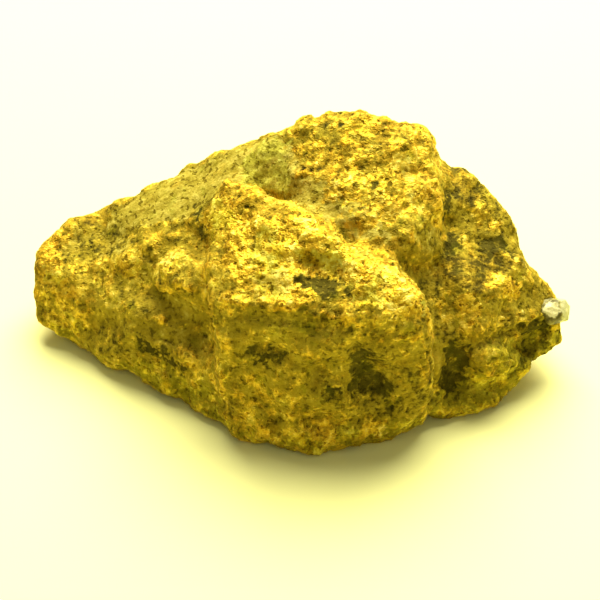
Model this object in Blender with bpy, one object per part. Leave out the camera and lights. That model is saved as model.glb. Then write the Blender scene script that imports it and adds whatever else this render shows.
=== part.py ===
"""Gold nugget, 40 mm long, with a small quartz grain set in its pointed end.

Run it with:  blender --background --python part.py

The nugget is one solid. Its form is a soft union of rounded lumps, less the hollows and grooves
worn into it, with a natural relief all over. A net of even cells is drawn over that form. Lengths
are in millimetres here, and the meshes are in metres. +X runs from the blunt end to the pointed
end, +Z is up, and the origin is under the middle of the nugget, on the surface that it lies on.
"""

import bmesh
import bpy
import numpy as np
from mathutils import Vector, noise

MM = 0.001

# Driving dimensions of the whole nugget.
LENGTH, WIDTH, HEIGHT = 40.0, 24.2, 18.6
GRAIN_PROUD = 0.3  # how far the quartz grain stands out past the gold at the pointed end
WORN_UNDERSIDE = 1.1  # how much is worn flat off the lumps that it lies on

# The net: the size of its cells, the block of space that it is drawn in, and how far it is evened.
CELL = 0.86
SPACE_LOW, SPACE_HIGH = (-22.0, -13.0, -1.0), (22.0, 15.0, 21.0)
EVENING_ROUNDS = 5

# The relief: the distance between its lumps, their height, and where its pattern starts.
RELIEF = [(4.8, 0.45, (0, 0, 0)), (2.4, 0.4, (7, 3, 5))]

# How softly lumps run into each other, and how softly the lip of a hollow is rounded.
JOIN_ROUNDING = 0.55
LIP_ROUNDING = 0.25

# Lumps: how far the edges are rounded, then the corners.
LUMPS = {
    "heart": (
        1.0,
        [
            (-15.6, 2.2, 2.0), (-16.4, 4.8, 5.0), (-14.0, 4.0, 7.0), (-8.4, 1.0, 9.6),
            (-9.0, -4.6, 1.2), (-6.2, -6.9, 1.2), (-5.8, -5.2, 9.0), (-1.0, -9.2, 1.6),
            (7.0, -7.8, 1.4), (8.2, -6.8, 9.0), (-0.5, -7.2, 12.0), (5.8, -7.2, 11.6),
            (12.6, -5.4, 1.8), (14.6, -3.4, 3.2), (15.6, -0.2, 6.2), (12.6, -2.6, 8.4),
            (14.2, 1.6, 8.8), (-3.6, 1.4, 13.8), (0.0, 1.0, 15.0), (3.6, 2.6, 16.2),
            (7.6, 3.0, 15.4), (7.4, -2.4, 13.0), (4.0, 6.0, 17.0), (-13.4, 7.6, 2.8),
            (-9.6, 9.2, 5.0), (-4.0, 10.0, 7.0), (3.0, 10.4, 7.4), (8.2, 9.2, 7.0),
            (12.6, 7.2, 4.6), (10.2, 5.0, 12.2), (-5.6, 6.6, 12.2), (-9.0, 8.6, 1.2),
            (9.0, 9.0, 1.2),
        ],
    ),
    "blunt_end": (
        1.3,
        [
            (-21.0, 2.6, 2.6), (-20.9, 5.4, 4.4), (-21.7, 3.4, 6.6), (-21.0, 5.2, 7.6), (-18.6, 6.8, 8.5),
            (-17.6, 1.0, 6.8), (-18.6, 1.0, 0.7), (-17.2, 9.4, 5.4), (-16.5, 8.4, 1.0),
            (-12.0, 10.0, 7.4), (-12.0, -1.8, 7.4), (-13.0, -3.8, 0.3), (-10.0, 6.0, 0.4),
        ],
    ),
    "left_slope": (
        1.0,
        [
            (-15.4, 7.0, 9.4), (-11.3, 7.4, 11.7), (-7.5, 7.6, 14.2), (-3.8, 7.0, 16.4),
            (-0.1, 6.4, 18.1), (-14.0, 0.6, 8.6), (-9.6, 1.0, 11.2), (-5.0, 2.0, 14.8),
            (-12.0, 10.4, 7.0), (-5.0, 11.4, 9.0), (-9.0, 8.0, 1.0), (0.0, 9.0, 6.0),
            (-6.0, -1.0, 6.0),
        ],
    ),
    "pale_ledge": (
        0.4,
        [
            (-11.7, -0.3, 10.1), (-8.6, -0.4, 11.9), (-7.0, -3.0, 11.7), (-9.1, -3.9, 9.9),
            (-11.2, -2.9, 9.0), (-8.0, 2.0, 8.0), (-6.0, 0.0, 8.6), (-10.4, 0.6, 8.0),
        ],
    ),
    "left_foot": (
        1.1,
        [
            (-12.8, -4.4, 0.2), (-9.0, -7.1, 0.2), (-5.6, -8.7, 0.4), (-6.5, -7.8, 5.4),
            (-9.0, -6.0, 5.6), (-12.2, -3.5, 6.6), (-16.4, -1.4, 0.3), (-15.6, -0.9, 6.2),
            (-10.0, 4.0, 8.0), (-7.0, -4.2, 9.4),
        ],
    ),
    "front_block": (
        0.6,
        [
            (-5.4, 2.0, 16.9), (-7.0, 0.8, 15.6), (-7.1, -2.2, 14.4), (-7.1, -6.4, 12.7),
            (-6.6, -8.7, 9.6), (-6.0, -8.3, 1.2), (-2.3, -0.2, 17.4), (-0.3, -3.3, 17.0),
            (2.3, -5.4, 16.4), (4.6, -6.9, 15.7), (7.2, -7.2, 15.0), (8.7, -7.9, 13.7),
            (-5.8, -7.9, 13.1), (-0.1, -9.1, 13.6), (3.1, -10.5, 13.2), (7.6, -10.0, 12.6),
            (9.6, -8.9, 10.6), (9.8, -9.2, 8.4), (10.1, -9.3, 5.0), (9.5, -9.2, 1.9),
            (7.2, -9.3, 0.8), (2.1, -11.1, 0.9), (-0.8, -11.4, 0.9), (-3.2, -10.6, 0.9),
            (4.0, -2.6, 13.6), (8.0, -4.4, 11.8), (-5.0, 2.0, 5.0), (8.0, -4.0, 2.0),
        ],
    ),
    "summit": (
        0.8,
        [
            (3.2, 5.6, 20.2), (5.8, 5.4, 20.0), (8.4, 5.3, 19.0), (10.0, 5.2, 17.4),
            (-0.4, 6.0, 18.4), (-4.0, 6.6, 16.3), (2.8, 1.6, 18.4), (9.7, 2.6, 17.4),
            (10.2, 0.0, 15.4), (3.0, -2.4, 16.2), (7.4, -4.2, 14.4), (-1.2, 1.4, 16.5),
            (3.0, 9.0, 16.4), (8.0, 8.6, 15.2), (-2.5, 9.8, 13.6), (10.4, 6.2, 12.4),
            (10.2, -1.6, 11.0), (4.0, 11.4, 11.0), (0.0, 0.0, 10.0),
        ],
    ),
    "shoulder": (
        0.9,
        [
            (10.0, 6.5, 15.2), (12.0, 5.9, 14.9), (14.4, 5.1, 13.4), (16.1, 3.8, 11.6),
            (16.8, 1.8, 9.9), (10.2, 1.6, 13.8), (12.8, -0.5, 12.1), (15.3, -1.6, 10.0),
            (10.2, -3.8, 11.0), (12.6, -5.2, 8.5), (12.6, -7.8, 0.4), (15.4, -6.4, 0.6),
            (9.6, -8.8, 0.4), (15.8, -5.0, 2.2), (12.0, 9.0, 9.0), (15.6, 7.2, 5.6),
            (16.4, 4.0, 2.0), (10.0, 10.6, 2.0), (8.0, 0.0, 6.0),
        ],
    ),
    "pointed_end": (
        0.45,
        [
            (18.0, 0.9, 8.9), (19.2, 0.2, 7.6), (19.5, -0.6, 6.4), (20.3, -2.0, 4.9), (19.9, -1.8, 3.9),
            (14.6, -0.6, 9.8), (14.6, -4.0, 8.2), (17.6, -2.8, 6.9), (17.9, -2.6, 4.6),
            (16.4, -3.1, 3.8), (15.5, -4.4, 2.5), (14.3, -5.7, 2.8), (15.0, 3.6, 8.4),
            (18.6, 2.0, 5.4), (16.4, 3.8, 3.0),
        ],
    ),
    "back_left": (
        1.2,
        [
            (-14.5, 9.8, 1.6), (-10.5, 11.2, 0.2), (-6.0, 11.8, 0.4), (-6.4, 12.2, 7.6),
            (-11.5, 10.8, 6.8), (-9.0, 9.4, 9.6), (-9.0, 4.0, 3.0),
        ],
    ),
    "back_middle": (
        1.2,
        [
            (-3.4, 12.4, 1.0), (4.0, 12.6, 1.0), (5.4, 12.8, 7.0), (0.0, 13.0, 9.2),
            (-4.0, 12.2, 8.0), (1.5, 10.4, 14.2), (0.0, 4.0, 4.0),
        ],
    ),
    "back_right": (
        1.1,
        [
            (6.8, 11.2, -0.2), (12.0, 9.6, -0.2), (12.8, 9.6, 7.6), (8.0, 11.6, 9.0),
            (15.8, 7.0, 2.8), (10.0, 8.8, 11.4), (7.0, 4.0, 4.0),
        ],
    ),
    "right_knob": (
        0.4,
        [(12.2, -4.2, 9.9), (14.6, -2.6, 9.9), (14.4, -4.6, 8.6), (12.6, -5.8, 8.2), (13.0, -2.0, 7.0)],
    ),
    "right_lip": (
        0.35,
        [
            (12.4, -6.6, 6.4), (15.2, -5.2, 6.2), (16.4, -4.0, 5.4), (13.4, -6.6, 5.2),
            (14.0, -3.0, 5.0), (12.0, -4.0, 6.0),
        ],
    ),
}

# The quartz grain: its middle, the reach of its corners from there, and the gap round it.
GRAIN_MIDDLE = (18.8, -2.2, 5.5)
GRAIN_CORNERS = [
    (1.2, 0.2, 0.4), (1.0, -0.5, -0.3), (0.5, -1.1, 0.6), (-0.4, -1.2, -0.2), (-1.1, -0.5, 0.6),
    (-0.9, 0.5, -0.6), (0.1, 1.1, 0.4), (0.6, 0.6, -0.7), (0.0, -0.3, -0.8), (0.2, -0.3, 1.2),
    (0.8, 0.3, 1.0), (-0.7, 0.4, 0.9),
]
GRAIN_GAP = 0.3

# Hollows: the middle, then half of the size along X, Y and Z.
HOLLOWS = {
    "left_pocket": ((-9.7, -6.0, 7.9), (3.1, 2.9, 2.2)),
    "above_ledge": ((-8.5, 0.0, 13.2), (1.5, 2.4, 1.7)),
    "front_hollow": ((4.7, -10.8, 6.9), (1.7, 2.0, 2.2)),
    "front_crescent": ((-2.4, -10.6, 9.3), (1.7, 1.4, 0.8)),
    "front_dimple": ((1.5, -10.8, 8.4), (1.3, 1.2, 1.0)),
    "front_low_dimple": ((1.0, -11.2, 4.0), (1.5, 0.9, 1.3)),
    "right_hollow": ((11.6, -8.0, 4.6), (1.7, 2.2, 2.6)),
    "right_low_hollow": ((15.0, -6.0, 3.2), (1.5, 1.4, 0.7)),
    "block_top_hollow": ((1.6, -7.6, 15.3), (2.3, 1.8, 1.2)),
    "block_top_dimple": ((-0.2, -4.9, 17.0), (1.3, 1.2, 0.9)),
    "summit_right_hollow": ((11.4, -0.9, 13.4), (1.4, 2.6, 1.8)),
    "summit_front_dimple": ((6.2, 0.8, 18.6), (2.2, 1.4, 1.2)),
    "shoulder_hollow": ((14.0, 1.6, 12.8), (1.6, 1.6, 1.2)),
    "under_point": ((17.1, -3.9, 5.3), (1.7, 1.6, 1.2)),
    "nose_top_hollow": ((-16.4, 4.0, 9.5), (2.6, 1.8, 0.9)),
    "back_pit": ((-3.2, 13.6, 6.0), (1.9, 1.8, 2.2)),
    "back_upper_pit": ((6.4, 11.2, 12.4), (1.8, 1.8, 1.6)),
    "back_left_pit": ((-13.0, 11.4, 5.4), (2.0, 1.8, 1.3)),
    "back_right_pit": ((14.6, 8.6, 5.0), (1.6, 1.4, 1.8)),
    "under_left": ((-13.5, 3.0, 0.0), (3.6, 3.4, 1.8)),
    "under_middle": ((-1.5, 1.5, 0.0), (5.0, 4.2, 1.9)),
    "under_right": ((9.5, 2.0, 0.0), (3.8, 5.0, 1.9)),
}

# Grooves: the width, then the line that the middle of each follows.
GROOVES = {
    "valley_behind_crest": (
        2.2,
        [(-0.4, 0.0, 18.6), (1.7, -2.4, 17.6), (4.6, -4.4, 16.3), (7.6, -5.2, 14.9), (9.6, -5.8, 13.4)],
    ),
    "right_of_block": (1.5, [(9.6, -5.8, 13.4), (10.6, -6.9, 9.9), (11.1, -9.0, 6.6)]),
    "left_of_block": (
        1.4,
        [(-7.8, 1.6, 15.8), (-8.2, -2.0, 12.8), (-7.9, -8.0, 8.0), (-7.5, -9.0, 5.0)],
    ),
    "under_facet_edge": (
        0.9,
        [(-4.6, -9.4, 12.2), (-0.2, -10.2, 12.3), (3.6, -11.0, 12.0), (7.4, -10.4, 11.5)],
    ),
    "back_cleft": (2.2, [(6.2, 9.4, 15.4), (6.4, 12.8, 9.0), (5.9, 13.6, 3.0)]),
    "left_back_cleft": (2.0, [(-5.0, 9.4, 13.6), (-5.2, 12.8, 8.0), (-4.6, 13.4, 2.0)]),
}


def hull_planes(corners):
    """Outward normals and offsets of the planes round the convex hull of these corners."""
    mesh = bmesh.new()
    for corner in corners:
        mesh.verts.new(corner)
    bmesh.ops.convex_hull(mesh, input=mesh.verts)
    middle = sum((Vector(c) for c in corners), Vector()) / len(corners)
    normals, offsets = [], []
    for face in mesh.faces:
        face.normal_update()
        normal = face.normal.copy()
        offset = normal.dot(face.verts[0].co)
        if normal.dot(middle) > offset:
            normal, offset = -normal, -offset
        normals.append(normal)
        offsets.append(offset)
    mesh.free()
    return np.array(normals), np.array(offsets)


def soft_max(values, rounding):
    """The largest in each row, rounded off where two are nearly equal."""
    top = values.max(axis=1, keepdims=True)
    return top[:, 0] + rounding * np.log(np.exp((values - top) / rounding).sum(axis=1))


def groove_depth(points, width, line):
    """How far each point lies outside a round groove along this line, negative inside it."""
    nearest = np.full(len(points), np.inf)
    for start, end in zip(np.array(line[:-1]), np.array(line[1:])):
        run = end - start
        share = np.clip((points - start) @ run / (run @ run), 0, 1)
        nearest = np.minimum(nearest, np.linalg.norm(points - start - share[:, None] * run, axis=1))
    return nearest - width / 2


def relief(points):
    height = np.zeros(len(points))
    for spacing, size, start in RELIEF:
        places = points * 2 / spacing + np.array(start)
        height += size * np.array([noise.noise(Vector(place)) for place in places])
    return height


def form(points, lumps):
    """Below zero inside the nugget, above it outside."""
    insides = [
        -soft_max(points @ normals.T - offsets, 0.35 * rounding) for normals, offsets, rounding in lumps
    ]
    depth = -soft_max(np.stack(insides, axis=1), JOIN_ROUNDING)
    cuts = [
        (np.linalg.norm((points - np.array(middle)) / np.array(radii), axis=1) - 1) * min(radii)
        for middle, radii in HOLLOWS.values()
    ]
    cuts += [groove_depth(points, width, line) for width, line in GROOVES.values()]
    for cut in cuts:
        depth = soft_max(np.stack([depth, -cut], axis=1), LIP_ROUNDING)
    return np.maximum(depth - relief(points), WORN_UNDERSIDE - points[:, 2])


def fill_pinches(depth):
    """Fill the grid corners between two parts of the surface that would touch along a line."""
    while True:
        pinched = np.zeros(depth.shape, dtype=bool)
        for axis in range(3):
            near, mark = np.moveaxis(depth < 0, axis, 0), np.moveaxis(pinched, axis, 0)
            corner, far, side, other = (
                (slice(None), rows, columns)
                for rows, columns in (
                    (slice(-1), slice(-1)), (slice(1, None), slice(1, None)),
                    (slice(1, None), slice(-1)), (slice(-1), slice(1, None)),
                )
            )
            touching = near[corner] == near[far]
            touching &= near[side] == near[other]
            touching &= near[corner] != near[side]
            for part in (corner, far, side, other):
                mark[part] |= touching
        pinched &= depth > 0
        if not pinched.any():
            return
        depth[pinched] = -0.1


def draw_net(lumps):
    """One point in each cell that the form's surface passes through, and a quad round each crossing."""
    axes = [np.arange(low, high, CELL) for low, high in zip(SPACE_LOW, SPACE_HIGH)]
    corners = np.stack(np.meshgrid(*axes, indexing="ij"), axis=-1)
    depth = form(corners.reshape(-1, 3), lumps).reshape(corners.shape[:3])
    fill_pinches(depth)
    rings, crossings = [], []
    for axis, (side, other) in enumerate(((1, 2), (2, 0), (0, 1))):
        start = np.moveaxis(depth, axis, 0)[:-1]
        end = np.moveaxis(depth, axis, 0)[1:]
        found = np.argwhere(np.moveaxis((start < 0) != (end < 0), 0, axis))
        first, step, across, over = found, *np.eye(3, dtype=int)[[axis, side, other]]
        low, high = depth[tuple(first.T)], depth[tuple((first + step).T)]
        place = first + step * (low / (low - high))[:, None]
        ring = np.stack([first, first - across, first - across - over, first - over], axis=1)
        ring[low > 0] = ring[low > 0][:, ::-1]
        rings.append(ring)
        crossings.append(np.repeat(place[:, None], 4, axis=1))
    cells = np.concatenate(rings).reshape(-1, 3)
    places = np.concatenate(crossings).reshape(-1, 3)
    _, owner = np.unique(cells @ np.array([1, 1000, 1000000]), return_inverse=True)
    total = np.zeros((owner.max() + 1, 3))
    np.add.at(total, owner, places)
    points = np.array(SPACE_LOW) + CELL * total / np.bincount(owner)[:, None]
    return points, owner.reshape(-1, 4)


def outward(points, lumps):
    """The direction straight out of the form, and how fast the form's value rises along it."""
    slope = np.stack(
        [(form(points + step, lumps) - form(points - step, lumps)) / 0.1 for step in 0.05 * np.eye(3)],
        axis=1,
    )
    size = np.maximum(np.linalg.norm(slope, axis=1, keepdims=True), 0.3)
    return slope / size, size[:, 0]


def even_out(points, quads, lumps):
    """Spread the net's points evenly over the form, keeping them on it."""
    starts, ends = quads.ravel(), np.roll(quads, -1, axis=1).ravel()
    count = np.bincount(starts, minlength=len(points))[:, None]
    for _ in range(EVENING_ROUNDS):
        total = np.zeros_like(points)
        np.add.at(total, starts, points[ends])
        points = points + 0.5 * (total / count - points)
        for _ in range(2):
            normal, rise = outward(points, lumps)
            points = points - normal * np.clip(form(points, lumps) / rise, -0.3, 0.3)[:, None]
    return points


def to_size(points):
    """Bring the gold to its driving dimensions, with the worn parts of its underside level."""
    points[points[:, 2] < WORN_UNDERSIDE + 0.01, 2] = WORN_UNDERSIDE
    low, high = points.min(axis=0), points.max(axis=0)
    new_low = np.array([-LENGTH / 2, -WIDTH / 2, 0.0])
    new_high = np.array([LENGTH / 2 - GRAIN_PROUD, WIDTH / 2, HEIGHT])
    return new_low + (points - low) * (new_high - new_low) / (high - low)


def add_solid(name, points, faces):
    mesh = bpy.data.meshes.new(name)
    mesh.from_pydata((np.array(points) * MM).tolist(), [], faces)
    mesh.update()
    solid = bpy.data.objects.new(name, mesh)
    bpy.context.scene.collection.objects.link(solid)
    return solid


def add_material(solid, colour, metallic, roughness):
    material = bpy.data.materials.new(solid.name)
    material.use_nodes = True
    shader = material.node_tree.nodes["Principled BSDF"]
    shader.inputs["Base Color"].default_value = (*colour, 1.0)
    shader.inputs["Metallic"].default_value = metallic
    shader.inputs["Roughness"].default_value = roughness
    solid.data.materials.append(material)


def build_nugget():
    lumps = [(*hull_planes(corners), rounding) for rounding, corners in LUMPS.values()]
    points, quads = draw_net(lumps)
    nugget = add_solid("nugget", to_size(even_out(points, quads, lumps)), quads.tolist())
    add_material(nugget, (0.60, 0.41, 0.08), metallic=0.8, roughness=0.5)
    return nugget


def build_grain(name, spare):
    """The quartz grain, or with some spare all round, the cutter for its socket."""
    grain = bmesh.new()
    for corner in GRAIN_CORNERS:
        reach = Vector(corner)
        grain.verts.new(Vector(GRAIN_MIDDLE) + reach * (1 + spare / reach.length))
    bmesh.ops.convex_hull(grain, input=grain.verts)
    bmesh.ops.recalc_face_normals(grain, faces=grain.faces)
    grain.verts.index_update()
    solid = add_solid(name, [v.co for v in grain.verts], [[v.index for v in f.verts] for f in grain.faces])
    grain.free()
    return solid


def cut_socket(nugget):
    cutter = build_grain("cutter", GRAIN_GAP)
    cut = nugget.modifiers.new("socket", "BOOLEAN")
    cut.operation, cut.solver, cut.object = "DIFFERENCE", "EXACT", cutter
    mesh = bpy.data.meshes.new_from_object(nugget.evaluated_get(bpy.context.evaluated_depsgraph_get()))
    nugget.modifiers.remove(cut)
    nugget.data = mesh
    bpy.data.objects.remove(cutter)


def main():
    for old in list(bpy.data.objects):
        bpy.data.objects.remove(old)
    nugget = build_nugget()
    cut_socket(nugget)
    grain = build_grain("quartz_tip", 0.0)
    add_material(grain, (0.87, 0.84, 0.62), metallic=0.0, roughness=0.25)


main()
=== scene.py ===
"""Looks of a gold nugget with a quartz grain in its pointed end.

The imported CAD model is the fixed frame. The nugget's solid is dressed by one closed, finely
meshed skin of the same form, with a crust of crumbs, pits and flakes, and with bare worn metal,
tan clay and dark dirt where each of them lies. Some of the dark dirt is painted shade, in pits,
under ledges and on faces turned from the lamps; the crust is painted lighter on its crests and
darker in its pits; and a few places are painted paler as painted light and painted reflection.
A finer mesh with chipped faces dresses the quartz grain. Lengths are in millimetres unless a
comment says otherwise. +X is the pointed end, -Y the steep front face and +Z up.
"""

import math
from collections import namedtuple

import bpy
import numpy as np
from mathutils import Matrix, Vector, noise


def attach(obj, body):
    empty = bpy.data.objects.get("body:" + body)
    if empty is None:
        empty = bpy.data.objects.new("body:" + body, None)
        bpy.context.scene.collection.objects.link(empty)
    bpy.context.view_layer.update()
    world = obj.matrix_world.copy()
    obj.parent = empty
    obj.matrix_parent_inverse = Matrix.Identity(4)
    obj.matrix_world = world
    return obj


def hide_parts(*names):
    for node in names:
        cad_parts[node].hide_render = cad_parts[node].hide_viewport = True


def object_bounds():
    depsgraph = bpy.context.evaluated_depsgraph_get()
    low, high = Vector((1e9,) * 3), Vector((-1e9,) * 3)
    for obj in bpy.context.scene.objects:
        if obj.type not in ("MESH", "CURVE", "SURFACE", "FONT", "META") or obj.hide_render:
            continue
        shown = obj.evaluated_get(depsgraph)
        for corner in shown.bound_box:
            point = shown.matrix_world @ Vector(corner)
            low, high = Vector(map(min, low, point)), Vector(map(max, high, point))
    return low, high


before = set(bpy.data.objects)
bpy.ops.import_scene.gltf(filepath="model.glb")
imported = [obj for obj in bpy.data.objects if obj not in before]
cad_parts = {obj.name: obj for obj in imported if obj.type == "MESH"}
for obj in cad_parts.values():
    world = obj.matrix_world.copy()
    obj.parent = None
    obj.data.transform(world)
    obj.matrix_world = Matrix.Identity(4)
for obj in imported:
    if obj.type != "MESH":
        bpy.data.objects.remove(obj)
cad_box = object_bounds()

MM = 0.001

# The nugget's skin: the width of its cells, and the rounds of smoothing that take the CAD solid's
# facets off it, that even out its normals, and that show its hollows and ridges, about 2 mm across.
SKIN_CELL = 0.2
FACET_ROUNDS = 16
NORMAL_ROUNDS = 6
HOLLOW_ROUNDS = 70

# The quartz grain's skin, and how far its chipped faces rise: evenly, and here and there.
GRAIN_CELL = 0.06
GRAIN_ROUNDS = 3
CHIP_RISE = 0.05
CHIP_DEPTH = 0.08

# In a round of smoothing each point goes this share of the way to the middle of its neighbours and,
# where the form has to keep its size, this share of the way back.
SMOOTHING = 0.6
STEP_BACK = 0.62

# Patterns of lumps: how far apart the lumps are, the pattern's seed and its octaves.
CRESTS = (1.1, 4, 2)
GRIT = (0.55, 5, 2)
COARSE_LUMPS = (1.7, 6, 3)
BROAD_LUMPS = (3.4, 7, 2)
FLAKES = (0.9, 8, 2)
CRUMBS = (0.8, 9, 2)
CHIPS = (0.9, 21, 1)
FLAKE_SQUASH = (1.0, 1.0, 1.6)  # how many times closer together the flakes lie along X, Y and Z

# Blender's noise: how far one seed's part of it is from the next one's, in its own units, how many
# times closer together each octave's lumps are than the last one's, and how fast they get lower.
SEED_STEP = 17.3
OCTAVE_SCALE = 2.0
OCTAVE_DECAY = 0.7

# Patterns with a part along each of X, Y and Z, which have three seeds.
STRAY = (1.3, (1, 2, 3), 3)
LEANING = (0.8, (10, 11, 12), 1)

# How high the crust and each kind of lump stands, and how far the crust leans over sideways.
CRUST_HEIGHT = 0.13
COARSE_HEIGHT = 0.10
BROAD_HEIGHT = 0.14
CRUMB_HEIGHT = 0.22
LEAN = 0.10

# How far the edges of the zones, crests, cuts and lips stray, which makes them ragged.
ZONE_STRAY = 0.75
CREST_STRAY = 0.15
CUT_STRAY = 0.25
LIP_STRAY = 0.35

# A zone ends at this many times its radius, and fades in over this share of it.
ZONE_REACH = 1.15
ZONE_FADE = 0.45

# The depths of a hollow between which dirt gathers in it, and how much at most. Clay fills this
# share of a hollow. Ridges are worn bare between these heights.
DIRT_DEPTHS = (0.15, 0.50)
MOST_DIRT = 0.4
CLAY_FILL = 0.8
RIDGE_HEIGHTS = (0.06, 0.30)

# Below this height the crust only sinks in, so the flats that the nugget rests on stay level.
FLATS_TOP = 0.25

# The quartz grain's middle, and how far it stands out past the gold in the CAD solids. The gold
# closes in on it over the gap that its CAD socket keeps, by this much, and does so between these
# distances from its middle.
GRAIN_MIDDLE = (18.8, -2.2, 5.5)
GRAIN_PROUD = 0.3
GOLD_CLOSES = 0.34
CLOSING_REACH = (2.4, 1.7)

# What lies where, from the general to the particular: a later zone covers an earlier one.
# Each has its looks (crust: how deep the crust is, from 0 to 1; gold: how bare the metal is; clay:
# how much tan clay fills it; soil: how dark the dirt in it is; pale: how much pale crumb it
# holds; tint: from -1 for olive to 1 for rusty), and its stretches, each from one place
# (x, y, z, radius) to another. In the zones marked below, the dark dirt also stands for painted
# shade, and some pale crumb, bare gold and olive tint stand for painted light and painted
# reflection, as each one says. PLAIN is what lies outside every zone.
Looks = namedtuple("Looks", "crust gold clay soil pale tint", defaults=[0.0] * 6)
PLAIN = Looks(crust=0.50, gold=0.36, clay=0.10, soil=0.14)
STEEP = Looks(crust=0.45, gold=0.17, soil=0.04)
SIDE = Looks(crust=0.6, gold=0.16, soil=0.34)
WORN = Looks(crust=1.0, gold=1.0)
HALF_WORN = Looks(crust=0.9, gold=0.60, clay=0.15, soil=0.05)
MOTTLED = Looks(crust=0.8, gold=0.50, clay=0.15, soil=0.12)
CLAY = Looks(crust=0.15, gold=0.1, clay=1.0)
THIN_CLAY = Looks(crust=0.50, gold=0.45, clay=0.72, pale=0.16, tint=0.1)
DUSTY_CLAY = Looks(crust=0.4, gold=0.2, clay=0.45, soil=0.22)
PALE_CLAY = Looks(crust=0.5, gold=0.8, clay=0.3, pale=0.4)
SMOOTH_OCHRE = Looks(crust=0.05, clay=0.30, soil=0.12)
# Deep dirt, which in the deepest hollows is also painted shade.
DEEP_SOIL_AND_SHADE = Looks(crust=0.30, soil=0.85, tint=-0.3)
# Thin dirt, which in its zone is also painted shade.
THIN_SOIL_AND_SHADE = Looks(crust=0.6, gold=0.12, soil=0.45)
CRUMBLY = Looks(crust=1.0, gold=0.45, clay=0.2, soil=0.15, pale=0.55)
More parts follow.
